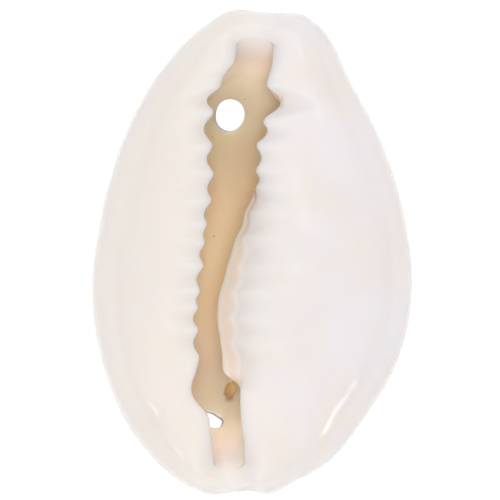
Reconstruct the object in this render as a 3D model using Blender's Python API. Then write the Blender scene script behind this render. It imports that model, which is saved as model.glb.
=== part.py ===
"""Cowrie shell: bleached white, drilled through twice, lying on its back with its mouth up.

The shell grew as one piece, so it is one solid. Its skin is lofted through closed rings that run
round the shell. They start at the flat rest spot, climb the domed back to the margin, cross the
base, roll over the toothed lips into the mouth, and follow the inner wall down to the floor of
the hollow. Each ring has the same number of points, one for each meridian.

X runs across the shell, with the inner lip at +X. Y runs along it, with the narrow front end at
+Y. Z is up. The shape is worked out in millimetres and turned to metres when the mesh is made.
"""
import math
from types import SimpleNamespace

import bmesh
import bpy
import numpy as np

METRES = 0.001

# Overall heights
HEIGHT = 10.4
MARGIN_HEIGHT = 6.5
MARGIN_LIFT_AT_ENDS = 1.3
BASE_FALL_AT_ENDS = 0.9
HALF_LENGTH = 11.0
HALF_WIDTH = 7.25
END_SOFTENING = 0.3

# The outline seen from above, clockwise from the front end, as (x, y)
OUTLINE = [
    (0.12, 10.94), (1.21, 10.83), (2.07, 10.84), (2.98, 10.29), (4.43, 7.80), (5.92, 4.90),
    (6.83, 2.00), (7.25, -1.71), (6.69, -4.70), (5.15, -7.42), (3.34, -9.59), (1.71, -10.48),
    (0.62, -10.97), (-0.10, -10.81), (-0.92, -10.91), (-2.01, -10.96), (-3.14, -10.45),
    (-5.45, -8.14), (-6.85, -4.88), (-7.28, -2.16), (-6.94, 1.28), (-5.95, 4.90),
    (-4.36, 7.98), (-2.23, 10.23), (-0.92, 10.98),
]

# The edge of each lip seen from above, front to rear, as (y, x, depth of the notch that follows).
# A row before a notch is the tip of a tooth.
OUTER_LIP = [
    (9.35, -0.73, 0.0), (8.65, -0.79, 0.12), (7.49, -1.49, 0.42), (6.33, -1.76, 0.37),
    (4.81, -1.78, 0.29), (3.54, -1.76, 0.25), (2.32, -1.86, 0.22), (1.25, -2.01, 0.12),
    (0.44, -2.11, 0.21), (-0.61, -2.21, 0.25), (-1.76, -2.39, 0.12), (-2.50, -2.50, 0.22),
    (-3.49, -2.49, 0.26), (-4.75, -2.43, 0.0), (-5.42, -2.55, 0.0), (-6.15, -2.73, 0.0),
    (-6.74, -2.53, 0.0), (-7.24, -2.07, 0.0), (-8.14, -1.86, 0.0), (-9.45, -1.73, 0.0),
]
INNER_LIP = [
    (9.35, 0.93, 0.0), (8.60, 0.90, 0.0), (7.62, 0.62, 0.72), (5.95, 0.47, 0.36),
    (4.86, 0.21, 0.26), (3.68, 0.18, 0.16), (2.91, 0.17, 0.16), (1.78, -0.01, 0.18),
    (0.65, -0.31, 0.18), (-0.67, -0.49, 0.18), (-1.85, -0.69, 0.18), (-2.98, -0.74, 0.18),
    (-4.11, -0.78, 0.14), (-5.47, -0.56, 0.0), (-6.69, -0.53, 0.0), (-7.87, -0.47, 0.0),
    (-9.45, -0.34, 0.0),
]
TOOTH_SHARPNESS = 1.3
TOOTH_COLUMNS = 5
PLAIN_STEP = 0.45
CAP_COLUMNS = 6
CAP_BULGE = 0.45

# Canals: open grooves that lead out of each end of the mouth, each as the x of its middle, half
# its width, the end it is at, and its depth. A lip turns into the canal over a distance from the
# end of the mouth, which is longer on the outer lip's side at the front.
CANALS = [(0.10, 0.84, 1, 0.45), (-1.05, 0.70, -1, 0.8)]
CANAL_FROM = (8.3, 10.2)
CANAL_SIDE = (0.4, 2.1)
CANAL_LEFT_SIDE = (0.5, 2.9)
CANAL_ROLL = 1.2
CANAL_ROLL_DROP = 1.1
CANAL_TURN = math.radians(25)
CANAL_CLIMB = 1.4

# The side of the inner whorl that shows below the inner lip, as (y, x)
WHORL_EDGE = [
    (3.27, 0.21), (2.28, -0.15), (1.14, -0.56), (0.15, -0.99), (-1.17, -1.31), (-2.16, -1.52),
    (-3.34, -1.55), (-4.16, -1.42), (-5.70, -1.26), (-7.00, -0.90),
]
WHORL_FROM = (3.9, 2.2)
WHORL_TO = (-5.3, -6.4)
WHORL_STEP = 0.35
WHORL_HEIGHT = 8.8
WHORL_UNDERSIDE = 6.6
WHORL_BACK = 6.9

# Lips: how far the edge rolls outward and down, and how far it has turned where the throat starts
LIP_ROLL = 0.3
INNER_LIP_ROLL = [
    (-9.0, 0.85), (-7.0, 1.25), (-4.0, 2.15), (0.0, 2.15), (3.0, 1.75), (6.0, 1.15), (9.0, 0.85),
]
OUTER_LIP_ROLL = [
    (-9.0, 1.0), (-6.0, 1.15), (-3.0, 1.25), (0.0, 0.95), (3.0, 0.75), (6.0, 0.7), (9.0, 0.8),
]
WHORL_ROLL_DROP = 1.5
WHORL_TURN = math.radians(62)

# The underside of a plain lip: distances from its edge, as a length and as a share of the way to
# the hollow's shoulder, and depths below the edge
LIP_UNDERSIDE = [(0.06, 0.0, 0.45), (0.45, 0.0, 0.90), (0.0, 0.38, 0.85), (0.0, 0.76, 1.35)]

# How far the ridges reach from the lip's edge; deeper notches reach farther. A notch is sunk
# straight down on the base and outward inside the mouth, and turns between the two at the edge.
RIDGE_LENGTH_OUTER = 1.7
RIDGE_LENGTH_INNER = 2.6
RIDGE_LENGTH_INSIDE = 1.2
DEEP_NOTCH = 0.3
DEEP_NOTCH_REACH = 2.4
NOTCH_TURN = (-1.1, 0.3)

# Walls, and how squarely the sections of the back, the base and the hollow are rounded
BACK_POWER = 2.15
BASE_POWER = 2.3
BACK_WALL = 0.9
SIDE_WALL = 1.4
FRONT_WALL = 3.2
REAR_WALL = 2.9
HOLLOW_SHOULDER = 6.1
BOWL_POWER = 2.1
END_CLIMB = 2.5

# The rest spot, as a share of the outline, and where it lies
REST_SHARE = 0.18
REST_CENTRE = np.array([0.2, -1.2])

# Drilled holes: centre, radii at every eighth of a turn from the right, and leans in degrees
FRONT_HOLE = {
    "at": (-1.02, 6.25, 3.2),
    "radii": [0.69, 0.75, 0.75, 0.67, 0.65, 0.74, 0.77, 0.68],
    "lean": (-1.5, 1.0),
}
REAR_HOLE = {
    "at": (-1.94, -7.62, 3.2),
    "radii": [0.52, 0.34, 0.37, 0.45, 0.50, 0.43, 0.35, 0.50],
    "lean": (1.5, -1.5),
}
HOLE_SIDES = 16
HOLE_LENGTH = 8.0

# The small pocket in the floor, behind the end of the inner whorl
POCKET_AT = (-0.98, -6.33, 3.15)
POCKET_RADII = (0.28, 0.62, 0.55)
POCKET_TURN = math.radians(8)

# Rings of each stretch: turns in degrees, shares of the roll, and places along the throat
BACK_TURNS = np.arange(0, 90, 13)
BASE_TURNS = np.arange(0, 91, 15)
ROLL_STEPS = 3
THROAT_PLACES = (0.5, 1.0, 1.5, 2.0, 2.6, 3.3, 4.1, 5.0)
FLOOR_TURNS = (74, 56, 38, 20)
FLOOR_MIDDLE = 0.1

SHELL_WHITE = (0.87, 0.83, 0.80)
SHELL_ROUGHNESS = 0.22


def ease(x, start, end):
    """Goes smoothly from 0 at start to 1 at end."""
    f = np.clip((np.asarray(x, float) - start) / (end - start), 0.0, 1.0)
    return f * f * (3 - 2 * f)


def curve(knots_x, knots_y, x, closed=False):
    """A smooth curve through knots at uneven steps, with slopes taken from both neighbours."""
    kx = np.asarray(knots_x, float)
    ky = np.asarray(knots_y, float)
    step = np.diff(kx)
    rise = np.diff(ky) / step
    inner = (rise[:-1] * step[1:] + rise[1:] * step[:-1]) / (step[1:] + step[:-1])
    if closed:
        seam = (rise[-1] * step[0] + rise[0] * step[-1]) / (step[0] + step[-1])
        slope = np.concatenate([[seam], inner, [seam]])
    else:
        slope = np.concatenate([[rise[0]], inner, [rise[-1]]])
    i = np.clip(np.searchsorted(kx, x, side="right") - 1, 0, len(kx) - 2)
    f = (x - kx[i]) / step[i]
    a = ky[i] * (1 + 2 * f) * (1 - f) ** 2 + slope[i] * step[i] * f * (1 - f) ** 2
    b = ky[i + 1] * f * f * (3 - 2 * f) + slope[i + 1] * step[i] * f * f * (f - 1)
    return a + b


def outline_at(angle, softened=0.0):
    """Points of the outline at angles measured clockwise from the front end.

    Softened takes the dips of both ends away, by a mean over that many radians.
    """
    if softened:
        shifts = np.linspace(-softened, softened, 9)
        return sum(outline_at(angle + shift) for shift in shifts) / len(shifts)
    points = np.array(OUTLINE + OUTLINE[:1])
    along = np.concatenate([[0], np.cumsum(np.hypot(*np.diff(points, axis=0).T))])
    fine = np.linspace(0, along[-1], 2400, endpoint=False)
    x = curve(along, points[:, 0], fine, closed=True)
    y = curve(along, points[:, 1], fine, closed=True)
    around = np.unwrap(np.arctan2(x / HALF_WIDTH, y / HALF_LENGTH))
    turn = 2 * math.pi
    around = np.concatenate([around - turn, around, around + turn])
    wanted = np.mod(angle, turn)
    return np.stack([np.interp(wanted, around, np.tile(v, 3)) for v in (x, y)], axis=1)


def lip_stations(lip):
    """Places along a lip: y, the edge's x, and how deep the notch is there, front to rear."""
    stations = []
    for (y0, _, notch), (y1, _, _) in zip(lip, lip[1:]):
        count = TOOTH_COLUMNS if notch else max(1, round((y0 - y1) / PLAIN_STEP))
        for k in range(count):
            f = k / count
            tooth = (0.5 + 0.5 * math.cos(2 * math.pi * f)) ** TOOTH_SHARPNESS
            stations.append((y0 + (y1 - y0) * f, notch * (1 - tooth)))
    stations.append((lip[-1][0], 0.0))
    y, notch = np.array(stations).T
    rear_first = np.array(lip)[::-1]
    return y, curve(rear_first[:, 0], rear_first[:, 1], y), notch


def cap_stations(left, right, y, end):
    """Places round one end of the mouth, from its left corner to its right one."""
    f = np.arange(1, CAP_COLUMNS + 1) / (CAP_COLUMNS + 1)
    angle = math.pi * (f - 0.5)
    x = (left + right) / 2 + (right - left) / 2 * np.sin(angle)
    return x, y + end * CAP_BULGE * np.cos(angle), 2 * f - 1


def mouth_columns():
    """Edge points round the mouth, clockwise from its front right corner.

    Gives the edge, the angle of its meridian, the notch depth, and 1 for the inner lip's side.
    """
    iy, ix, inotch = lip_stations(INNER_LIP)
    oy, ox, onotch = lip_stations(OUTER_LIP)
    fx, fy, fside = cap_stations(ox[0], ix[0], iy[0], 1)
    rx, ry, rside = cap_stations(ox[-1], ix[-1], iy[-1], -1)
    reach = abs(iy[[0, -1]]).max() + CAP_BULGE + 0.35
    front = math.acos(iy[0] / reach)
    rear = math.pi - math.acos(iy[-1] / reach)
    angle = np.concatenate([
        np.arccos(iy / reach),
        math.pi - rear * rside[::-1],
        2 * math.pi - np.arccos(oy[::-1] / reach),
        2 * math.pi + front * fside,
    ])
    edge = np.stack([
        np.concatenate([ix, rx[::-1], ox[::-1], fx]),
        np.concatenate([iy, ry[::-1], oy[::-1], fy]),
    ], axis=1)
    none = np.zeros(CAP_COLUMNS)
    notch = np.concatenate([inotch, none, onotch[::-1], none])
    inner = np.concatenate([np.ones(len(iy)), none, np.zeros(len(oy)), none])
    skew = math.radians(8) * ((1 - np.cos(angle)) / 2) ** 3
    return edge, angle + skew, notch, inner


def along(start, way, distance, height):
    """Points at a distance from start in plan, at the given height."""
    plan = start + way * np.reshape(distance, (-1, 1))
    return np.column_stack([plan, np.broadcast_to(height, len(plan))])


def meridians():
    """The places and shape values of every meridian, one of each for each column of points."""
    m = SimpleNamespace()
    m.edge, angle, m.notch, m.inner = mouth_columns()
    m.margin = outline_at(angle)
    m.body = outline_at(angle, END_SOFTENING)
    m.endness = abs(np.cos(angle))
    m.side = np.sin(angle)
    m.y = m.edge[:, 1]
    m.whorl = m.inner * ease(m.y, *WHORL_FROM) * (1 - ease(m.y, *WHORL_TO))

    # How far each meridian belongs to a canal, from its distance to the end of the mouth
    to_front = np.hypot(*(m.edge - m.edge[np.argmax(m.y)]).T)
    to_rear = np.hypot(*(m.edge - m.edge[np.argmin(m.y)]).T)
    from_end = np.minimum(to_front, to_rear)
    open_side = (m.y > 0) * (1 - m.inner)
    m.canal = 1 - ease(from_end, *CANAL_SIDE)
    m.canal += open_side * (1 - ease(from_end, *CANAL_LEFT_SIDE) - m.canal)

    m.margin_z = MARGIN_HEIGHT + MARGIN_LIFT_AT_ENDS * m.endness ** 4
    m.crest_z = HEIGHT - BASE_FALL_AT_ENDS * (abs(m.y) / HALF_LENGTH) ** 3
    m.outward = m.margin - m.edge
    m.outward /= np.hypot(*m.outward.T)[:, None]
    lip_shape(m)
    hollow_shape(m)
    return m


def lip_shape(m):
    """How wide and deep each meridian rolls over the lip, how far it turns, and its crest."""
    inner_roll = curve(*np.array(INNER_LIP_ROLL).T, np.clip(m.y, -9.0, 9.0))
    outer_roll = curve(*np.array(OUTER_LIP_ROLL).T, np.clip(m.y, -9.0, 9.0))
    m.roll = outer_roll + (inner_roll - outer_roll) * m.inner
    m.roll += (CANAL_ROLL - m.roll) * m.canal
    m.drop = LIP_ROLL + (WHORL_ROLL_DROP - LIP_ROLL) * m.whorl
    m.drop += (CANAL_ROLL_DROP - m.drop) * m.canal
    m.turn = math.pi / 2 + (WHORL_TURN - math.pi / 2) * m.whorl
    m.turn += (CANAL_TURN - m.turn) * m.canal
    m.crest = m.edge + m.outward * (m.roll * np.sin(m.turn))[:, None]


def hollow_shape(m):
    """Where each meridian meets the shoulder of the hollow, inside the walls."""
    m.shoulder_z = HOLLOW_SHOULDER - 0.5 * m.inner + 0.4 * m.endness ** 4
    end_wall = np.where(m.y > 0, FRONT_WALL, REAR_WALL)
    wall = SIDE_WALL + 0.2 * np.maximum(m.side, 0) + (end_wall - SIDE_WALL) * m.endness ** 3
    reach = np.hypot(*(m.margin - REST_CENTRE).T)
    m.shoulder = REST_CENTRE + (m.margin - REST_CENTRE) * (1 - wall / reach)[:, None]


def back_rings(m):
    """From the rest spot over the domed back to just under the margin."""
    power = BACK_POWER - 0.25 * m.endness ** 3
    rings = []
    for g in np.radians(BACK_TURNS):
        share = REST_SHARE + (1 - REST_SHARE) * math.sin(g) ** (2 / power)
        height = m.margin_z * (1 - math.cos(g) ** (2 / power))
        rim = m.body + (m.margin - m.body) * ease(share, 0.8, 1.0)[:, None]
        rings.append(np.column_stack([REST_CENTRE + (rim - REST_CENTRE) * share[:, None], height]))
    return rings


def base_rings(m):
    """From the margin to the crest of the lips."""
    power = BASE_POWER + 0.2 * m.side - 0.5 * m.endness ** 4
    rings = []
    for g in np.radians(BASE_TURNS):
        share = 1 - abs(math.cos(g)) ** (2 / power)
        height = m.margin_z + (m.crest_z - m.margin_z) * math.sin(g) ** (2 / power)
        rings.append(np.column_stack([m.margin + (m.crest - m.margin) * share[:, None], height]))
    return rings


def roll_rings(m):
    """From the crest over to the edge of the lips."""
    rings = []
    for f in np.arange(1, ROLL_STEPS + 1) / ROLL_STEPS:
        back = m.roll * (np.sin(m.turn) - np.sin(m.turn * f))
        height = m.crest_z - m.drop * (1 - np.cos(m.turn * f))
        rings.append(along(m.edge, m.outward, back, height))
    return rings


def sink_canals(rings):
    """Lowers the open grooves that lead out of the mouth, in the upper half of the shell."""
    for middle, half_width, end, depth in CANALS:
        across = abs(rings[:, :, 0] - middle) / half_width
        valley = (1 - ease(across, 0.2, 2.4)) * ease(end * rings[:, :, 1], *CANAL_FROM)
        rings[:, :, 2] -= depth * valley * ease(rings[:, :, 2] / HEIGHT, 0.45, 0.8)


def hollow(m, g):
    """One ring of the hollow's bowl, from its floor at 0 to its shoulder at a quarter turn."""
    share = math.sin(g) ** (2 / BOWL_POWER)
    bowl = 1 - math.cos(g) ** (2 / BOWL_POWER)
    climb = bowl + (share ** END_CLIMB - bowl) * m.endness ** 4
    height = BACK_WALL + (m.shoulder_z - BACK_WALL) * climb
    return np.column_stack([REST_CENTRE + (m.shoulder - REST_CENTRE) * share, height])


def lip_guides(m, edge_z, inward, span):
    """Points under a plain lip, which the meridian passes on its way to the shoulder."""
    return [
        along(m.edge, inward, length + share * span, edge_z - depth)
        for length, share, depth in LIP_UNDERSIDE
    ]


def whorl_guides(m, edge_z):
    """Points over the side of the inner whorl and back under it."""
    rear_first = np.array(WHORL_EDGE)[::-1]
    flank_x = curve(*rear_first.T, np.clip(m.y, rear_first[0, 0], rear_first[-1, 0]))
    flank = np.column_stack([flank_x, m.y])
    to_right = np.array([1.0, 0.0])
    return [
        np.column_stack([m.edge + (flank - m.edge) * 0.62, edge_z - WHORL_STEP]),
        np.column_stack([flank, np.full(len(flank), WHORL_HEIGHT)]),
        along(flank, to_right, 0.9, WHORL_UNDERSIDE),
        along(flank, to_right, 0.62 * (m.shoulder[:, 0] - flank_x), WHORL_BACK),
    ]


def throat_rings(m, before_edge, edge_z):
    """From the edge of the lips to the shoulder, each meridian a smooth curve through guides."""
    inward = m.shoulder - m.edge
    span = np.hypot(*inward.T)
    inward /= span[:, None]
    first = np.column_stack([m.edge, edge_z])
    last = np.column_stack([m.shoulder, m.shoulder_z])
    guides = [before_edge, first]
    pairs = zip(lip_guides(m, edge_z, inward, span), whorl_guides(m, edge_z))
    for k, (lip_guide, whorl_guide) in enumerate(pairs):
        f = (k + 1) / 5
        slope = first + (last - first) * [f, f, f ** CANAL_CLIMB]
        guide = lip_guide + (whorl_guide - lip_guide) * m.whorl[:, None]
        guides.append(guide + (slope - guide) * m.canal[:, None])
    guides += [last, hollow(m, math.radians(72))]
    rings = []
    for t in THROAT_PLACES:
        k = min(int(t), 4)
        f = t - k
        a, b, c, d = guides[k:k + 4]
        rings.append(0.5 * (2 * b + (c - a) * f + (2 * a - 5 * b + 4 * c - d) * f * f
                            + (3 * b - a - 3 * c + d) * f ** 3))
    return rings


def floor_rings(m):
    """From under the shoulder down the bowl to the middle of its floor."""
    rings = [hollow(m, math.radians(turn)) for turn in FLOOR_TURNS]
    middle = hollow(m, 0.0)
    return rings + [middle + (rings[-1] - middle) * FLOOR_MIDDLE]


def carve_notches(rings, edge_ring, m):
    """Sinks the grooves between the teeth, which fade away from the lip's edge on both sides."""
    steps = np.linalg.norm(np.diff(rings, axis=0), axis=2)
    run = np.concatenate([np.zeros((1, rings.shape[1])), np.cumsum(steps, axis=0)])
    run -= run[edge_ring]
    outside = RIDGE_LENGTH_OUTER + (RIDGE_LENGTH_INNER - RIDGE_LENGTH_OUTER) * m.whorl
    length = np.where(run < 0, outside, RIDGE_LENGTH_INSIDE)
    length += DEEP_NOTCH_REACH * np.maximum(m.notch - DEEP_NOTCH, 0.0)
    depth = m.notch * (1 - ease(abs(run) / length, 0.0, 1.0))
    turned = math.pi / 2 * ease(run, *NOTCH_TURN)
    rings[:, :, :2] += m.outward * (depth * np.sin(turned))[:, :, None]
    rings[:, :, 2] -= depth * np.cos(turned)


def shell_rings():
    """All rings from the rest spot to the hollow's floor, set on the ground over the origin."""
    m = meridians()
    outside = np.array(back_rings(m) + base_rings(m) + roll_rings(m))
    sink_canals(outside)
    inside = throat_rings(m, outside[-2], outside[-1, :, 2]) + floor_rings(m)
    rings = np.concatenate([outside, inside])
    carve_notches(rings, len(outside) - 1, m)
    low = rings.min(axis=(0, 1))
    high = rings.max(axis=(0, 1))
    return rings - [(low[0] + high[0]) / 2, (low[1] + high[1]) / 2, low[2]]


def shell_material():
    """Polished porcelain-like shell, warm white."""
    material = bpy.data.materials.new("bleached_shell")
    material.use_nodes = True
    surface = material.node_tree.nodes["Principled BSDF"]
    surface.inputs["Base Color"].default_value = (*SHELL_WHITE, 1)
    surface.inputs["Roughness"].default_value = SHELL_ROUGHNESS
    surface.inputs["Metallic"].default_value = 0.0
    return material


def skin(rings):
    """One closed mesh over all rings, flat at the rest spot and at the hollow's floor."""
    mesh = bmesh.new()
    loops = [[mesh.verts.new(point) for point in ring] for ring in rings * METRES]
    count = len(loops[0])
    for lower, upper in zip(loops, loops[1:]):
        for k in range(count):
            n = (k + 1) % count
            mesh.faces.new((lower[k], upper[k], upper[n], lower[n]))
    mesh.faces.new(loops[0])
    mesh.faces.new(loops[-1][::-1])
    bmesh.ops.recalc_face_normals(mesh, faces=mesh.faces)
    data = bpy.data.meshes.new("cowrie_shell")
    mesh.to_mesh(data)
    mesh.free()
    return data


def cut_away(shell, tool, name):
    """Takes the tool's shape out of the shell, and leaves the tool as a hidden wire frame."""
    tool.name = name
    tool.display_type = "WIRE"
    tool.hide_render = True
    cut = shell.modifiers.new(name, "BOOLEAN")
    cut.operation = "DIFFERENCE"
    cut.solver = "EXACT"
    cut.object = tool


def drill(hole):
    """A bar that stands through the back where a hole goes, as uneven as the hand-made hole."""
    bpy.ops.mesh.primitive_cylinder_add(
        vertices=HOLE_SIDES, radius=METRES, depth=HOLE_LENGTH * METRES)
    bar = bpy.context.object
    radii = hole["radii"]
    eighths = np.linspace(0, 2 * math.pi, len(radii) + 1)
    for point in bar.data.vertices:
        around = math.atan2(point.co.y, point.co.x) % (2 * math.pi)
        radius = float(curve(eighths, radii + radii[:1], around, closed=True))
        point.co.x *= radius
        point.co.y *= radius
    bar.rotation_euler = [math.radians(-lean) for lean in hole["lean"]] + [0]
    bar.location = [c * METRES for c in hole["at"]]
    return bar


def pocket():
    """The rounded lump whose shape the pocket has."""
    bpy.ops.mesh.primitive_uv_sphere_add(segments=12, ring_count=6, radius=METRES)
    lump = bpy.context.object
    lump.scale = POCKET_RADII
    lump.rotation_euler.z = POCKET_TURN
    lump.location = [c * METRES for c in POCKET_AT]
    return lump


def build():
    for item in list(bpy.data.objects):
        bpy.data.objects.remove(item, do_unlink=True)
    shell = bpy.data.objects.new("cowrie_shell", skin(shell_rings()))
    bpy.context.collection.objects.link(shell)
    shell.data.materials.append(shell_material())
    shell.data.shade_smooth()
    cut_away(shell, drill(FRONT_HOLE), "front_hole")
    cut_away(shell, drill(REAR_HOLE), "rear_hole")
    cut_away(shell, pocket(), "floor_pocket")


build()
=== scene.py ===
import math

import bpy
import numpy as np
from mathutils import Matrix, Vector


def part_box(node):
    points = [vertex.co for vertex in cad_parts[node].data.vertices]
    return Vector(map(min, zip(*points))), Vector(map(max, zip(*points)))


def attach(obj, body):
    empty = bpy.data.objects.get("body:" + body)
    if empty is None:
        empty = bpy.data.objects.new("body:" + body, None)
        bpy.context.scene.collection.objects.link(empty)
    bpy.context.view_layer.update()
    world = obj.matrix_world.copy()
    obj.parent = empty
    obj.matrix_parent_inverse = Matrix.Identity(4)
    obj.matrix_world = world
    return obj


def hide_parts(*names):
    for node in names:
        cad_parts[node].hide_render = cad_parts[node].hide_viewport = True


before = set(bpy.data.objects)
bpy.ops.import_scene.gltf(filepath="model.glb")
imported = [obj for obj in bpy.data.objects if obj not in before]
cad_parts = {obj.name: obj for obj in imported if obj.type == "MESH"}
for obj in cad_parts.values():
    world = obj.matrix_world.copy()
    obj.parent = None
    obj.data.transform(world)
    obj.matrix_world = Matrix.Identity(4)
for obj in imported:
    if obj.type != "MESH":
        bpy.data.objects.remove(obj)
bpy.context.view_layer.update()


# Outline and heights of the shell
# A cowrie's last whorl wraps all the older ones, so the outside is one closed egg of polished
# shell. It lies on the back of that egg, and its flat toothed base looks up.
MM = 0.001
low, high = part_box("cowrie_shell")
HALF_WIDTH = (high.x - low.x) / 2 / MM
HALF_LENGTH = (high.y - low.y) / 2 / MM
HEIGHT = (high.z - low.z) / MM
MARGIN_HEIGHT = 0.625 * HEIGHT
MARGIN_LIFT_AT_ENDS = 1.3
BASE_FALL_AT_ENDS = 0.9
END_SOFTENING = 0.3
REST_CENTRE = np.array([0.2, -1.2])
REST_SHARE = 0.18

# Seen from above, clockwise from the front end, as (x, y) in millimetres
OUTLINE = [
    (0.12, 10.94), (1.21, 10.83), (2.07, 10.84), (2.98, 10.29), (4.43, 7.80), (5.92, 4.90),
    (6.83, 2.00), (7.25, -1.71), (6.69, -4.70), (5.15, -7.42), (3.34, -9.59), (1.71, -10.48),
    (0.62, -10.97), (-0.10, -10.81), (-0.92, -10.91), (-2.01, -10.96), (-3.14, -10.45),
    (-5.45, -8.14), (-6.85, -4.88), (-7.28, -2.16), (-6.94, 1.28), (-5.95, 4.90),
    (-4.36, 7.98), (-2.23, 10.23), (-0.92, 10.98),
]


def ease(x, start, end):
    """Goes smoothly from 0 at start to 1 at end."""
    f = np.clip((np.asarray(x, float) - start) / (end - start), 0.0, 1.0)
    return f * f * (3 - 2 * f)


def curve(knots_x, knots_y, x, closed=False):
    """A smooth curve through knots at uneven steps, with slopes taken from both neighbours."""
    kx = np.asarray(knots_x, float)
    ky = np.asarray(knots_y, float)
    step = np.diff(kx)
    rise = np.diff(ky) / step
    inner = (rise[:-1] * step[1:] + rise[1:] * step[:-1]) / (step[1:] + step[:-1])
    if closed:
        seam = (rise[-1] * step[0] + rise[0] * step[-1]) / (step[0] + step[-1])
        slope = np.concatenate([[seam], inner, [seam]])
    else:
        slope = np.concatenate([[rise[0]], inner, [rise[-1]]])
    i = np.clip(np.searchsorted(kx, x, side="right") - 1, 0, len(kx) - 2)
    f = (x - kx[i]) / step[i]
    a = ky[i] * (1 + 2 * f) * (1 - f) ** 2 + slope[i] * step[i] * f * (1 - f) ** 2
    b = ky[i + 1] * f * f * (3 - 2 * f) + slope[i + 1] * step[i] * f * f * (f - 1)
    return a + b


def outline_at(around, softened=0.0):
    """Points of the outline at angles measured clockwise from the front end.

    Softened takes the dips of both ends away, by a mean over that many radians.
    """
    if softened:
        shifts = np.linspace(-softened, softened, 9)
        return sum(outline_at(around + shift) for shift in shifts) / len(shifts)
    points = np.array(OUTLINE + OUTLINE[:1])
    run = np.concatenate([[0], np.cumsum(np.hypot(*np.diff(points, axis=0).T))])
    fine = np.linspace(0, run[-1], 4800, endpoint=False)
    x = curve(run, points[:, 0], fine, closed=True)
    y = curve(run, points[:, 1], fine, closed=True)
    known = np.unwrap(np.arctan2(x / HALF_WIDTH, y / HALF_LENGTH))
    turn = 2 * math.pi
    known = np.concatenate([known - turn, known, known + turn])
    wanted = np.mod(around, turn)
    return np.stack([np.interp(wanted, known, np.tile(v, 3)) for v in (x, y)], axis=1)


# Lips and teeth
# The mouth is a long slit between two rolled lips. Each lip carries a row of teeth, low folds of
# the same shell, with rounded notches between them. The rear third of both lips has none.
OUTER_LIP = [
    (9.35, -0.73, 0.0), (8.65, -0.79, 0.12), (7.49, -1.49, 0.42), (6.33, -1.76, 0.37),
    (4.81, -1.78, 0.29), (3.54, -1.76, 0.25), (2.32, -1.86, 0.22), (1.25, -2.01, 0.12),
    (0.44, -2.11, 0.21), (-0.61, -2.21, 0.25), (-1.76, -2.39, 0.12), (-2.50, -2.50, 0.22),
    (-3.49, -2.49, 0.26), (-4.75, -2.43, 0.0), (-5.42, -2.55, 0.0), (-6.15, -2.73, 0.0),
    (-6.74, -2.53, 0.0), (-7.24, -2.07, 0.0), (-8.14, -1.86, 0.0), (-9.45, -1.73, 0.0),
]
INNER_LIP = [
    (9.35, 0.93, 0.0), (8.60, 0.90, 0.0), (7.62, 0.62, 0.72), (5.95, 0.47, 0.36),
    (4.86, 0.21, 0.26), (3.68, 0.18, 0.16), (2.91, 0.17, 0.16), (1.78, -0.01, 0.18),
    (0.65, -0.31, 0.18), (-0.67, -0.49, 0.18), (-1.85, -0.69, 0.18), (-2.98, -0.74, 0.18),
    (-4.11, -0.78, 0.14), (-5.47, -0.56, 0.0), (-6.69, -0.53, 0.0), (-7.87, -0.47, 0.0),
    (-9.45, -0.34, 0.0),
]
TOOTH_SHARPNESS = 1.3
TOOTH_COLUMNS = 14
PLAIN_STEP = 0.16
CAP_COLUMNS = 22
CAP_BULGE = 0.45
LIP_ROLL = 0.3
INNER_LIP_ROLL = [
    (-9.0, 0.85), (-7.0, 1.25), (-4.0, 2.15), (0.0, 2.15), (3.0, 1.75), (6.0, 1.15), (9.0, 0.85),
]
OUTER_LIP_ROLL = [
    (-9.0, 1.0), (-6.0, 1.15), (-3.0, 1.25), (0.0, 0.95), (3.0, 0.75), (6.0, 0.7), (9.0, 0.8),
]
WHORL_FROM = (3.9, 2.2)
WHORL_TO = (-5.3, -6.4)
WHORL_ROLL_DROP = 1.5
WHORL_TURN = math.radians(62)

# An open groove, the canal, leads out of each end of the mouth: the x of its middle, half its
# width, its end, and its depth. A lip turns into the canal over these distances from the end of
# the mouth, the longer one on the outer lip's side at the front.
CANALS = [(0.10, 0.84, 1, 0.45), (-1.05, 0.70, -1, 0.8)]
CANAL_FROM = (8.3, 10.2)
CANAL_SIDE = (0.4, 2.1)
CANAL_LEFT_SIDE = (0.5, 2.9)
CANAL_ROLL = 1.2
CANAL_ROLL_DROP = 1.1
CANAL_TURN = math.radians(25)


def lip_stations(lip):
    """Places along a lip: y, the edge's x, and how deep the notch is there, front to rear."""
    stations = []
    for (y0, _, depth), (y1, _, _) in zip(lip, lip[1:]):
        count = TOOTH_COLUMNS if depth else round((y0 - y1) / PLAIN_STEP)
        for k in range(count):
            f = k / count
            tooth = (0.5 + 0.5 * math.cos(2 * math.pi * f)) ** TOOTH_SHARPNESS
            stations.append((y0 + (y1 - y0) * f, depth * (1 - tooth)))
    stations.append((lip[-1][0], 0.0))
    along, depth = np.array(stations).T
    rear_first = np.array(lip)[::-1]
    return along, curve(rear_first[:, 0], rear_first[:, 1], along), depth


def cap_stations(left, right, at, end):
    """Places round one end of the mouth, from its left corner to its right one."""
    f = np.arange(1, CAP_COLUMNS + 1) / (CAP_COLUMNS + 1)
    around = math.pi * (f - 0.5)
    x = (left + right) / 2 + (right - left) / 2 * np.sin(around)
    return x, at + end * CAP_BULGE * np.cos(around), 2 * f - 1


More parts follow.
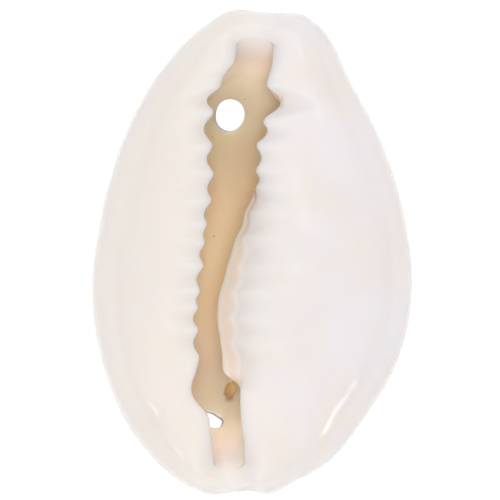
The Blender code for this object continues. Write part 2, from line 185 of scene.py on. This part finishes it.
def mouth_columns():
    """Edge points round the mouth, clockwise from its front right corner.

    Gives the edge, the angle of its meridian, the notch depth, and 1 for the inner lip's side.
    """
    iy, ix, inotch = lip_stations(INNER_LIP)
    oy, ox, onotch = lip_stations(OUTER_LIP)
    fx, fy, fside = cap_stations(ox[0], ix[0], iy[0], 1)
    rx, ry, rside = cap_stations(ox[-1], ix[-1], iy[-1], -1)
    reach = abs(iy[[0, -1]]).max() + CAP_BULGE + 0.35
    front = math.acos(iy[0] / reach)
    rear = math.pi - math.acos(iy[-1] / reach)
    around = np.concatenate([
        np.arccos(iy / reach),
        math.pi - rear * rside[::-1],
        2 * math.pi - np.arccos(oy[::-1] / reach),
        2 * math.pi + front * fside,
    ])
    points = np.stack([
        np.concatenate([ix, rx[::-1], ox[::-1], fx]),
        np.concatenate([iy, ry[::-1], oy[::-1], fy]),
    ], axis=1)
    none = np.zeros(CAP_COLUMNS)
    depth = np.concatenate([inotch, none, onotch[::-1], none])
    inner_side = np.concatenate([np.ones(len(iy)), none, np.zeros(len(oy)), none])
    skew = math.radians(8) * ((1 - np.cos(around)) / 2) ** 3
    return points, around + skew, depth, inner_side


def along(start, way, distance, height):
    """Points at a distance from start in plan, at the given height."""
    plan = start + way * np.reshape(distance, (-1, 1))
    return np.column_stack([plan, np.broadcast_to(height, len(plan))])


edge, angle, notch, inner = mouth_columns()
margin = outline_at(angle)
body = outline_at(angle, END_SOFTENING)
endness = abs(np.cos(angle))
side = np.sin(angle)
edge_y = edge[:, 1]
front_end = edge[np.argmax(edge_y)]
rear_end = edge[np.argmin(edge_y)]
from_end = np.minimum(np.hypot(*(edge - front_end).T), np.hypot(*(edge - rear_end).T))
open_side = (edge_y > 0) * (1 - inner)
canal = 1 - ease(from_end, *CANAL_SIDE)
canal = canal + open_side * (1 - ease(from_end, *CANAL_LEFT_SIDE) - canal)
whorl = inner * ease(edge_y, *WHORL_FROM) * (1 - ease(edge_y, *WHORL_TO))

margin_z = MARGIN_HEIGHT + MARGIN_LIFT_AT_ENDS * endness ** 4
crest_z = HEIGHT - BASE_FALL_AT_ENDS * (abs(edge_y) / HALF_LENGTH) ** 3
inner_roll = curve(*np.array(INNER_LIP_ROLL).T, np.clip(edge_y, -9.0, 9.0))
outer_roll = curve(*np.array(OUTER_LIP_ROLL).T, np.clip(edge_y, -9.0, 9.0))
roll = outer_roll + (inner_roll - outer_roll) * inner
roll = roll + (CANAL_ROLL - roll) * canal
drop = LIP_ROLL + (WHORL_ROLL_DROP - LIP_ROLL) * whorl
drop = drop + (CANAL_ROLL_DROP - drop) * canal
turn = math.pi / 2 + (WHORL_TURN - math.pi / 2) * whorl
turn = turn + (CANAL_TURN - turn) * canal
outward = margin - edge
outward /= np.hypot(*outward.T)[:, None]
crest = edge + outward * (roll * np.sin(turn))[:, None]


# Outer skin
# Polished by the animal's own mantle: a domed back with a small flat to lie on, a rounded margin,
# and a base that swells up to the crest of each lip.
BACK_POWER = 2.15
BASE_POWER = 2.3
BACK_ROWS = 34
BASE_ROWS = 50
ROLL_ROWS = 24


def back_rows():
    """Rings from the rest spot up to just under the margin."""
    power = BACK_POWER - 0.25 * endness ** 3
    rows = []
    for g in np.linspace(0, math.pi / 2, BACK_ROWS, endpoint=False):
        share = REST_SHARE + (1 - REST_SHARE) * math.sin(g) ** (2 / power)
        height = margin_z * (1 - math.cos(g) ** (2 / power))
        rim = body + (margin - body) * ease(share, 0.8, 1.0)[:, None]
        rows.append(np.column_stack([REST_CENTRE + (rim - REST_CENTRE) * share[:, None], height]))
    return rows


def base_rows():
    """Rings from the margin to the crest of the lips."""
    power = BASE_POWER + 0.2 * side - 0.5 * endness ** 4
    rows = []
    for g in np.linspace(0, math.pi / 2, BASE_ROWS):
        share = 1 - abs(math.cos(g)) ** (2 / power)
        height = margin_z + (crest_z - margin_z) * math.sin(g) ** (2 / power)
        rows.append(np.column_stack([margin + (crest - margin) * share[:, None], height]))
    return rows


def roll_rows():
    """Rings from the crest over to the edge of the lips."""
    rows = []
    for f in np.arange(1, ROLL_ROWS + 1) / ROLL_ROWS:
        back = roll * (np.sin(turn) - np.sin(turn * f))
        rows.append(along(edge, outward, back, crest_z - drop * (1 - np.cos(turn * f))))
    return rows


def sink_canals(rows):
    """Lowers the open groove that leads out of each end of the mouth."""
    for middle, half_width, end, depth in CANALS:
        across = abs(rows[:, :, 0] - middle) / half_width
        valley = (1 - ease(across, 0.2, 2.4)) * ease(end * rows[:, :, 1], *CANAL_FROM)
        above = ease(rows[:, :, 2] / HEIGHT, 0.45, 0.8)
        rows[:, :, 2] -= depth * valley * above


# Inner skin
# Behind the lips the walls fall back into the hollow of the last whorl. Under the inner lip the
# side of the inner whorl stands out, pale, and ends before the rear in a small pocket.
WHORL_EDGE = [
    (-7.00, -0.90), (-5.70, -1.26), (-4.16, -1.42), (-3.34, -1.55), (-2.16, -1.52), (-1.17, -1.31),
    (0.15, -0.99), (1.14, -0.56), (2.28, -0.15), (3.27, 0.21),
]

# The underside of a plain lip: distances from its edge, as a length and as a share of the way to
# the hollow's shoulder, and depths below the edge
LIP_UNDERSIDE = [(0.06, 0.0, 0.45), (0.45, 0.0, 0.90), (0.0, 0.38, 0.85), (0.0, 0.76, 1.35)]
WHORL_STEP = 0.35
WHORL_HEIGHT = 8.8
WHORL_UNDERSIDE = 6.6
WHORL_BACK = 6.9
BACK_WALL = 0.9
SIDE_WALL = 1.4
FRONT_WALL = 3.2
REAR_WALL = 2.9
HOLLOW_SHOULDER = 6.1
BOWL_POWER = 2.1
END_CLIMB = 2.5
CANAL_CLIMB = 1.4
THROAT_ROWS_PER_GUIDE = 10
FLOOR_ROWS = 26

shoulder_z = HOLLOW_SHOULDER - 0.5 * inner + 0.4 * endness ** 4
end_wall = np.where(edge_y > 0, FRONT_WALL, REAR_WALL)
wall = SIDE_WALL + 0.2 * np.maximum(side, 0) + (end_wall - SIDE_WALL) * endness ** 3
margin_reach = np.hypot(*(margin - REST_CENTRE).T)
shoulder = REST_CENTRE + (margin - REST_CENTRE) * (1 - wall / margin_reach)[:, None]
flank_x = curve(*np.array(WHORL_EDGE).T, np.clip(edge_y, WHORL_EDGE[0][0], WHORL_EDGE[-1][0]))


def hollow(g):
    """One ring of the hollow's bowl, from its floor at 0 to its shoulder at a quarter turn."""
    share = math.sin(g) ** (2 / BOWL_POWER)
    bowl = 1 - math.cos(g) ** (2 / BOWL_POWER)
    climb = bowl + (share ** END_CLIMB - bowl) * np.maximum(canal, endness ** 4)
    height = BACK_WALL + (shoulder_z - BACK_WALL) * climb
    return np.column_stack([REST_CENTRE + (shoulder - REST_CENTRE) * share, height])


def throat_rows(before_edge, edge_z):
    """Rings from the edge of the lips to the hollow's shoulder, each meridian a smooth curve."""
    inward = shoulder - edge
    span = np.hypot(*inward.T)
    inward = inward / span[:, None]
    lip_guides = [
        along(edge, inward, length + share * span, edge_z - depth)
        for length, share, depth in LIP_UNDERSIDE
    ]
    flank = np.column_stack([flank_x, edge_y])
    to_right = np.array([1.0, 0.0])
    whorl_guides = [
        np.column_stack([edge + (flank - edge) * 0.62, edge_z - WHORL_STEP]),
        np.column_stack([flank, np.full(len(edge), WHORL_HEIGHT)]),
        along(flank, to_right, 0.9, WHORL_UNDERSIDE),
        along(flank, to_right, 0.62 * (shoulder[:, 0] - flank_x), WHORL_BACK),
    ]
    first = np.column_stack([edge, edge_z])
    last = np.column_stack([shoulder, shoulder_z])
    guides = [before_edge, first]
    for k in range(4):
        f = (k + 1) / 5
        slope = first + (last - first) * [f, f, f ** CANAL_CLIMB]
        guide = lip_guides[k] + (whorl_guides[k] - lip_guides[k]) * whorl[:, None]
        guides.append(guide + (slope - guide) * canal[:, None])
    guides.append(last)
    guides.append(hollow(math.radians(72)))
    rows = []
    for t in np.arange(1, 5 * THROAT_ROWS_PER_GUIDE + 1) / THROAT_ROWS_PER_GUIDE:
        k = min(int(t), 4)
        f = t - k
        a, b, c, d = guides[k], guides[k + 1], guides[k + 2], guides[k + 3]
        rows.append(0.5 * (2 * b + (c - a) * f + (2 * a - 5 * b + 4 * c - d) * f * f
                           + (3 * b - a - 3 * c + d) * f ** 3))
    return rows


def floor_rows():
    """Rings from under the hollow's shoulder down to the middle of its floor."""
    turns = np.linspace(math.pi / 2, 0, FLOOR_ROWS + 1)[1:]
    rows = [hollow(g) for g in turns[:-1]]
    rows.append(rows[-1] * 0.7 + hollow(0.0) * 0.3)
    return rows


# Notches and ridges
# The folds between the notches run over the crest of each lip and fade out on the base. They reach
# farther on the inner lip, where the shell was laid down over the older whorl.
RIDGE_LENGTH_OUTER = 1.7
RIDGE_LENGTH_INNER = 2.6
RIDGE_LENGTH_INSIDE = 1.2
DEEP_NOTCH = 0.3
DEEP_NOTCH_REACH = 2.4
NOTCH_TURN = (-1.1, 0.3)
WAVES = np.array([
    (1.1, 0.5, 0.2, 0.4), (-0.6, 1.3, 0.5, 1.9), (0.3, -0.9, 1.2, 3.1), (1.7, 1.4, -0.8, 5.0),
])
UNEVEN_HEIGHT = 0.018

deep = np.maximum(notch - DEEP_NOTCH, 0.0)


def unevenness(rows):
    """Low waves in the skin, as in anything grown."""
    return UNEVEN_HEIGHT * sum(np.sin(rows @ wave[:3] + wave[3]) for wave in WAVES)


def carve_notches(rows, edge_row):
    """Sinks the grooves between the teeth, which fade away from the lip's edge on both sides."""
    steps = np.linalg.norm(np.diff(rows, axis=0), axis=2)
    run = np.concatenate([np.zeros((1, rows.shape[1])), np.cumsum(steps, axis=0)])
    run -= run[edge_row]
    outside = RIDGE_LENGTH_OUTER + (RIDGE_LENGTH_INNER - RIDGE_LENGTH_OUTER) * whorl
    length = np.where(run < 0, outside, RIDGE_LENGTH_INSIDE) + DEEP_NOTCH_REACH * deep
    depth = notch * (1 - ease(abs(run) / length, 0.0, 1.0)) + unevenness(rows)
    turned = math.pi / 2 * ease(run, *NOTCH_TURN)
    rows[:, :, :2] += outward * (depth * np.sin(turned))[:, :, None]
    rows[:, :, 2] -= depth * np.cos(turned)
    return run


rows = np.array(back_rows() + base_rows() + roll_rows())
sink_canals(rows)
edge_row = len(rows) - 1
throat = throat_rows(rows[-2 - ROLL_ROWS // 4], rows[edge_row, :, 2])
rows = np.concatenate([rows, throat, floor_rows()])
run = carve_notches(rows, edge_row)

# The ball that becomes the shell
# A ball has one closed skin with a pole at each end, as the shell has: one pole goes to the rest
# spot and the other to the floor of the hollow. Its points are then laid on the rings.
bpy.ops.object.select_all(action="DESELECT")
bpy.ops.mesh.primitive_uv_sphere_add(segments=rows.shape[1], ring_count=len(rows) + 1, radius=1)
shell = bpy.context.object
shell.name = "cowrie"
shell.data.name = "cowrie"
count = len(shell.data.vertices)
ball = np.empty(count * 3)
shell.data.vertices.foreach_get("co", ball)
ball = ball.reshape(-1, 3)
column = np.rint(np.arctan2(ball[:, 1], ball[:, 0]) / (2 * math.pi) * rows.shape[1]).astype(int)
row = np.rint(np.arccos(np.clip(-ball[:, 2], -1, 1)) / math.pi * (len(rows) + 1)).astype(int) - 1
laid = rows[np.clip(row, 0, len(rows) - 1), column % rows.shape[1]]
laid[row < 0] = rows[0].mean(axis=0)
laid[row >= len(rows)] = rows[-1].mean(axis=0)
size = laid.max(axis=0) - laid.min(axis=0)
cad_size = np.array(high - low) / MM
laid = np.array(low) / MM + (laid - laid.min(axis=0)) * cad_size / size
shell.data.vertices.foreach_set("co", (laid * MM).ravel())
shell.data.update()

# Where the skin is stained: 0 outside, 1 in the hollow, less on the pale side of the whorl. The
# stain starts just inside the lip's edge, or before it in a deep notch, and grows over a short
# way. It is strongest in the middle of the hollow and fades out along the canals.
STAIN_START = 0.05
STAIN_WAY = 0.4
PALE_WHORL_UNTIL = (1.3, 1.9)
FRONT_FADE = (8.1, 9.7)
REAR_FADE = (7.5, 9.8)
STRONGEST_AT = 1.5

tan_from = STAIN_START - 2.0 * deep - 0.5 * open_side * canal
tan_over = STAIN_WAY + 1.2 * open_side * canal + 0.8 * deep
pale_whorl = 0.5 * whorl * (1 - ease(run, *PALE_WHORL_UNTIL))
tanned = ease((run - tan_from) / tan_over, 0.0, 1.0) * (1 - pale_whorl)
front_fade = 1 - ease(rows[:, :, 1], *FRONT_FADE)
rear_fade = 1 - ease(-rows[:, :, 1], *REAR_FADE)
strength = 1 - 0.3 * ease(abs(rows[:, :, 1] - STRONGEST_AT), 2.0, 7.5)
stain = np.where(run > tan_from, tanned * front_fade * rear_fade * strength, 0.0)
values = stain[np.clip(row, 0, len(rows) - 1), column % rows.shape[1]]
values[row < 0] = 0.0
corners = np.empty(len(shell.data.loops), int)
shell.data.loops.foreach_get("vertex_index", corners)
mark = shell.data.attributes.new("stain", "FLOAT", "CORNER")
mark.data.foreach_set("value", values[corners].astype(np.float32))

bpy.ops.object.mode_set(mode="EDIT")
bpy.ops.mesh.select_all(action="SELECT")
bpy.ops.mesh.normals_make_consistent(inside=False)
bpy.ops.object.mode_set(mode="OBJECT")
bpy.ops.object.shade_smooth()


# Material of the skin
# Cowrie enamel is aragonite laid down in fine crossed needles, and bleaching has taken its colour
# out. It is hard, bright and a little see-through, and the unpolished hollow has stayed tan.
def linear(hex_colour):
    """An sRGB hex colour as linear RGBA."""
    parts = [int(hex_colour[i:i + 2], 16) / 255 for i in (1, 3, 5)]
    return [c / 12.92 if c <= 0.04045 else ((c + 0.055) / 1.055) ** 2.4 for c in parts] + [1.0]


def node(tree, kind, settings=None, **inputs):
    """Adds a node, sets its own settings, and sets or links its inputs by name."""
    made = tree.nodes.new(kind)
    for name, value in (settings or {}).items():
        setattr(made, name, value)
    for name, value in inputs.items():
        socket = made.inputs[int(name[1:])] if name[1:].isdigit() else made.inputs[name.replace("_", " ")]
        if isinstance(value, bpy.types.NodeSocket):
            tree.links.new(value, socket)
        else:
            socket.default_value = value
    return made


ENAMEL_IVORY = "#F7EFE9"
ENAMEL_LILAC = "#F6F1F3"
ENAMEL_ROSE = "#F7EEEA"
STAIN_PALE = "#F2E2D6"
STAIN_TAN = "#F4E5C7"
GRIT = "#6B5648"
SIDE_BLEND = 3 * MM

# Soft rose patches in the white, and grains of silt stuck in the hollow. Real silt is too fine to
# show, so the grains are drawn as coarse as sand.
PATCH_SIZE = 3.5 * MM
GRAIN_SPACING = 0.9 * MM
GRAIN_RADIUS = 0.06 * MM

# Light goes this far into the shell before it comes out again
LIGHT_DEPTH = 1.0 * MM


def cowrie_enamel():
    """Ivory on the outer lip's side, a little lilac on the other, tan where it is stained."""
    material = bpy.data.materials.new("bleached_cowrie_enamel")
    material.use_nodes = True
    tree = material.node_tree
    tree.nodes.clear()
    place = node(tree, "ShaderNodeTexCoord").outputs["Object"]
    stained = node(tree, "ShaderNodeAttribute", {"attribute_name": "stain"}).outputs["Fac"]
    axes = node(tree, "ShaderNodeSeparateXYZ", Vector=place)
    across = node(tree, "ShaderNodeMapRange", Value=axes.outputs["X"], From_Min=-SIDE_BLEND,
                  From_Max=SIDE_BLEND)
    mottle = node(tree, "ShaderNodeTexNoise", Vector=place, Scale=1 / PATCH_SIZE, Detail=2.0)
    patches = node(tree, "ShaderNodeMapRange", Value=mottle.outputs["Fac"], From_Min=0.4, From_Max=0.65)
    sides = node(tree, "ShaderNodeMix", {"data_type": "RGBA"}, _0=across.outputs[0],
                 _6=linear(ENAMEL_IVORY), _7=linear(ENAMEL_LILAC))
    white = node(tree, "ShaderNodeMix", {"data_type": "RGBA"}, _0=patches.outputs[0],
                 _6=sides.outputs[2], _7=linear(ENAMEL_ROSE))
    to_pale = node(tree, "ShaderNodeMapRange", Value=stained, From_Min=0.0, From_Max=0.45)
    pale = node(tree, "ShaderNodeMix", {"data_type": "RGBA"}, _0=to_pale.outputs[0],
                _6=white.outputs[2], _7=linear(STAIN_PALE))
    to_tan = node(tree, "ShaderNodeMapRange", Value=stained, From_Min=0.4, From_Max=1.0)
    tan = node(tree, "ShaderNodeMix", {"data_type": "RGBA"}, _0=to_tan.outputs[0],
               _6=pale.outputs[2], _7=linear(STAIN_TAN))
    grains = node(tree, "ShaderNodeTexVoronoi", Vector=place, Scale=1 / GRAIN_SPACING)
    near = node(tree, "ShaderNodeMapRange", Value=grains.outputs["Distance"],
                From_Min=GRAIN_RADIUS / GRAIN_SPACING, From_Max=0.5 * GRAIN_RADIUS / GRAIN_SPACING)
    inside = node(tree, "ShaderNodeMapRange", Value=stained, From_Min=0.55, From_Max=0.7, To_Max=0.6)
    stuck = node(tree, "ShaderNodeMath", {"operation": "MULTIPLY"}, _0=near.outputs[0],
                 _1=inside.outputs[0])
    gritty = node(tree, "ShaderNodeMix", {"data_type": "RGBA"}, _0=stuck.outputs[0],
                  _6=tan.outputs[2], _7=linear(GRIT))
    rough = node(tree, "ShaderNodeMapRange", Value=stained, To_Min=0.16, To_Max=0.26)
    surface = node(tree, "ShaderNodeBsdfPrincipled", Base_Color=gritty.outputs[2],
                   Roughness=rough.outputs[0], IOR=1.55, Subsurface_Weight=1.0,
                   Subsurface_Radius=(1.0, 0.85, 0.7), Subsurface_Scale=LIGHT_DEPTH)
    node(tree, "ShaderNodeOutputMaterial", Surface=surface.outputs["BSDF"])
    return material


shell.data.materials.append(cowrie_enamel())


# Drilled holes and pocket
# Two holes for a cord go through the back, one near each end. They were drilled by hand, so they
# are uneven, and their walls are chalky. A small pocket behind the inner whorl is cut as a shallow
# dent, and its amber colour is painted shade for the deep gap that opens there.
HOLE_SIDES = 64
HOLE_LENGTH = 8.0
FRONT_HOLE_AT = (-1.02, 6.25, 3.2)
FRONT_HOLE_RADII = [0.69, 0.75, 0.75, 0.67, 0.65, 0.74, 0.77, 0.68]
REAR_HOLE_AT = (-1.92, -7.67, 3.2)
REAR_HOLE_RADII = [
    0.56, 0.41, 0.35, 0.35, 0.36, 0.40, 0.44, 0.48, 0.50, 0.48, 0.43, 0.36, 0.33, 0.40, 0.49, 0.55,
]
POCKET_AT = (-0.98, -6.2, 3.25)
POCKET_SIZE = (0.31, 0.75, 0.5)
POCKET_SLANT = 0.6
CHALK = "#E9E1D8"
# The pocket's amber is painted shade: darker colour that stands for the shadow deep in the gap behind the
# inner whorl
POCKET_SHADE_AMBER = "#F1D3A0"


def plain(name, colour, roughness):
    """A single-coloured material for a cut face."""
    material = bpy.data.materials.new(name)
    material.use_nodes = True
    surface = material.node_tree.nodes["Principled BSDF"]
    surface.inputs["Base Color"].default_value = linear(colour)
    surface.inputs["Roughness"].default_value = roughness
    surface.inputs["IOR"].default_value = 1.55
    return material


def take_out(tool, name, material):
    """Cuts the tool's shape out of the shell, gives the cut its material, and removes the tool."""
    tool.data.materials.append(material)
    tool.data.shade_smooth()
    cut = shell.modifiers.new(name, "BOOLEAN")
    cut.operation = "DIFFERENCE"
    cut.solver = "EXACT"
    cut.material_mode = "TRANSFER"
    cut.object = tool
    bpy.context.view_layer.objects.active = shell
    bpy.ops.object.modifier_apply(modifier=name)
    bpy.data.objects.remove(tool)


def drill(name, at, radii, lean, material):
    """Cuts one hole. Radii are at even steps of a turn, anticlockwise from the right."""
    bpy.ops.object.select_all(action="DESELECT")
    bpy.ops.mesh.primitive_cylinder_add(vertices=HOLE_SIDES, radius=MM, depth=HOLE_LENGTH * MM)
    bar = bpy.context.object
    steps = np.linspace(0, 2 * math.pi, len(radii) + 1)
    for point in bar.data.vertices:
        around = math.atan2(point.co.y, point.co.x) % (2 * math.pi)
        radius = float(curve(steps, radii + radii[:1], around, closed=True))
        point.co.x *= radius
        point.co.y *= radius
    bar.rotation_euler = [math.radians(-a) for a in lean] + [0]
    bar.location = [c * MM for c in at]
    take_out(bar, name, material)


bpy.ops.object.select_all(action="DESELECT")
bpy.ops.mesh.primitive_uv_sphere_add(segments=40, ring_count=24, radius=MM)
lump = bpy.context.object
for point in lump.data.vertices:
    x, y, z = point.co / MM
    narrow = 1 - 0.5 * max(-y, 0) ** 2
    point.co = (x * narrow * MM, (y * 0.52 if y > 0 else y) * MM, (z - POCKET_SLANT * x) * MM)
lump.scale = POCKET_SIZE
lump.rotation_euler = (0, 0, math.radians(8))
lump.location = [c * MM for c in POCKET_AT]
# The cut face of the pocket gets the amber painted shade
take_out(lump, "pocket", plain("aragonite_painted_pocket_shade", POCKET_SHADE_AMBER, 0.35))

chalk = plain("chalky_drilled_aragonite", CHALK, 0.75)
drill("front_hole", FRONT_HOLE_AT, FRONT_HOLE_RADII, (-1.5, 1), chalk)
drill("rear_hole", REAR_HOLE_AT, REAR_HOLE_RADII, (1.5, -1.5), chalk)

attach(shell, "root")
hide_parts("cowrie_shell")


# Light table
# A sheet of opal acrylic, lit evenly from below, so that what lies on it stands on clean white and
# the drilled holes show bright.
TABLE_SIZE = 2000 * MM
TABLE_GAP = 0.02 * MM
bpy.ops.object.select_all(action="DESELECT")
bpy.ops.mesh.primitive_plane_add(size=TABLE_SIZE, location=(0, 0, -TABLE_GAP))
table = bpy.context.object
table.name = "light_table"
opal = bpy.data.materials.new("opal_acrylic_lit")
opal.use_nodes = True
opal_surface = opal.node_tree.nodes["Principled BSDF"]
opal_surface.inputs["Base Color"].default_value = (0.5, 0.5, 0.5, 1)
opal_surface.inputs["Roughness"].default_value = 0.6
opal_surface.inputs["Emission Color"].default_value = (1, 1, 1, 1)
opal_surface.inputs["Emission Strength"].default_value = 0.65
table.data.materials.append(opal)


# Lights
# A pale room, soft light from straight above, and a beam that leans to each end to reach the ramps
# of the canals. Small soft boxes leave bright marks in the polish. A lamp at each end of the hollow
# stands for the light that the thin back lets through.
BOX_DISTANCE = 250 * MM

room = bpy.data.worlds.new("pale_room")
room.use_nodes = True
background = room.node_tree.nodes["Background"]
background.inputs["Color"].default_value = (1, 0.99, 0.98, 1)
background.inputs["Strength"].default_value = 0.28
bpy.context.scene.world = room


def soft_box(name, direction, width, length, brightness):
    """An area light that looks at the shell from a direction, with a brightness per area."""
    lamp = bpy.data.lights.new(name, "AREA")
    lamp.shape = "RECTANGLE"
    lamp.size = width
    lamp.size_y = length
    lamp.energy = brightness * math.pi * width * length
    box = bpy.data.objects.new(name, lamp)
    bpy.context.scene.collection.objects.link(box)
    x, y, z = direction
    norm = math.sqrt(x * x + y * y + z * z)
    box.location = [c / norm * BOX_DISTANCE for c in direction]
    box.rotation_euler = (math.acos(z / norm), 0, math.atan2(x, -y))
    box.visible_camera = False


def sun(name, lean, turned, softness, brightness):
    """Even light with no mark in the polish, leaning to the front end by an angle."""
    lamp = bpy.data.lights.new(name, "SUN")
    lamp.energy = brightness * math.pi
    lamp.angle = math.radians(softness)
    beam = bpy.data.objects.new(name, lamp)
    beam.rotation_euler = (math.radians(-lean), 0, math.radians(turned))
    beam.visible_glossy = False
    bpy.context.scene.collection.objects.link(beam)


def glow(name, at, power):
    """Light that the thin back lets through, as a small lamp inside the hollow."""
    lamp = bpy.data.lights.new(name, "POINT")
    lamp.energy = power
    lamp.shadow_soft_size = 1.2 * MM
    lit = bpy.data.objects.new(name, lamp)
    lit.location = [c * MM for c in at]
    lit.visible_glossy = False
    lit.visible_camera = False
    bpy.context.scene.collection.objects.link(lit)


soft_box("overhead_box", (0.03, 0.02, 1.0), 0.012, 0.012, 7.0)
soft_box("front_box", (0.40, 0.35, 0.85), 0.03, 0.03, 3.0)
soft_box("right_rear_box", (0.755, -0.545, 0.37), 0.014, 0.03, 11.0)
soft_box("left_rear_box", (-0.66, -0.61, 0.43), 0.035, 0.025, 5.0)
glow("front_glow", (-0.3, 6.8, 7.9), 0.00004)
glow("rear_glow", (-1.4, -6.0, 7.4), 0.0001)
sun("overhead", 1, -90, 10, 0.385)
sun("from_front", 38, 0, 30, 0.19)
sun("from_rear", -38, -9, 30, 0.18)


# Camera
# Straight above the shell, through a long lens, with the front end at the top of the picture.
FRAME_MM = 22.66
LENS = 1500.0
SENSOR = 36.0
camera_data = bpy.data.cameras.new("camera")
camera_data.lens = LENS
camera_data.sensor_width = SENSOR
camera_data.clip_start = 0.01
camera_data.clip_end = 10
camera = bpy.data.objects.new("camera", camera_data)
bpy.context.scene.collection.objects.link(camera)
camera.location = (-0.1 * MM, 0.1 * MM, (MARGIN_HEIGHT + FRAME_MM * LENS / SENSOR) * MM)
bpy.context.scene.camera = camera
bpy.context.scene.view_settings.view_transform = "Standard"
